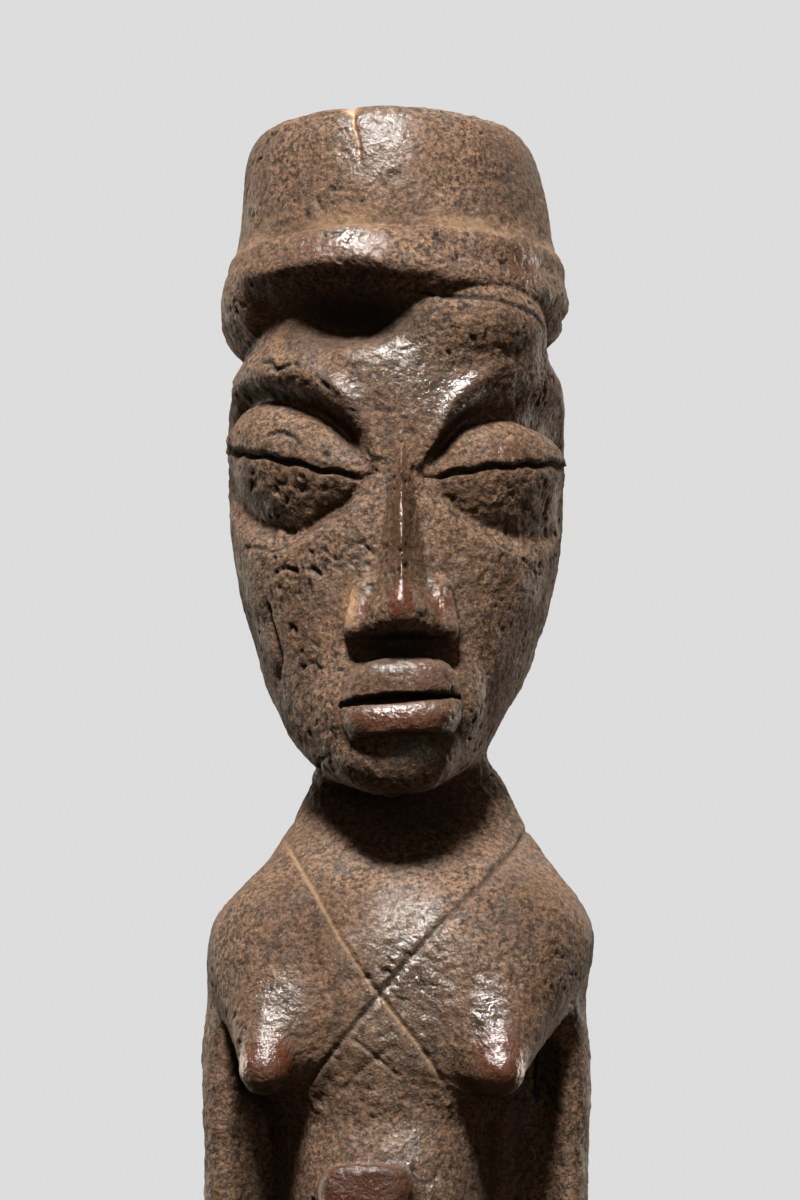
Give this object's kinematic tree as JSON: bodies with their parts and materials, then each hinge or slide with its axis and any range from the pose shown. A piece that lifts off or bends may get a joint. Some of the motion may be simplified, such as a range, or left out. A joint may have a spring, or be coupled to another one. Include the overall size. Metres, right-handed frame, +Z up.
{
  "type": "carved wooden figure",
  "caption": "Standing carved wooden doll with a tall cap, long closed-eyed face, cape-like chest with hanging breasts, raised navel, arms held to the sides and short bent legs.",
  "frame": {"origin": "middle of the figure's footprint, on the ground under the soles", "axes": "+Z up the figure, the face looks towards -Y, +X to the viewer's right of someone facing it"},
  "size_m": [0.0618, 0.0618, 0.312],
  "materials": {
    "crusted_wood": "old oiled hardwood under a dark, crusty, part-glossy patina",
    "worn_wood": "handled reddish-brown hardwood, smooth and glossy"
  },
  "bodies": {
    "root": {"crown": "crusted_wood", "brim": "crusted_wood", "head": "crusted_wood", "left_ear": "crusted_wood", "right_ear": "crusted_wood", "neck": "crusted_wood", "chest": "crusted_wood", "belly": "crusted_wood", "navel": "worn_wood", "pelvis": "crusted_wood", "left_arm": "crusted_wood", "right_arm": "crusted_wood", "left_hand": "crusted_wood", "right_hand": "crusted_wood", "left_thigh": "crusted_wood", "right_thigh": "crusted_wood", "left_calf": "crusted_wood", "right_calf": "crusted_wood", "left_foot": "crusted_wood", "right_foot": "crusted_wood"}
  },
  "joints": []
}
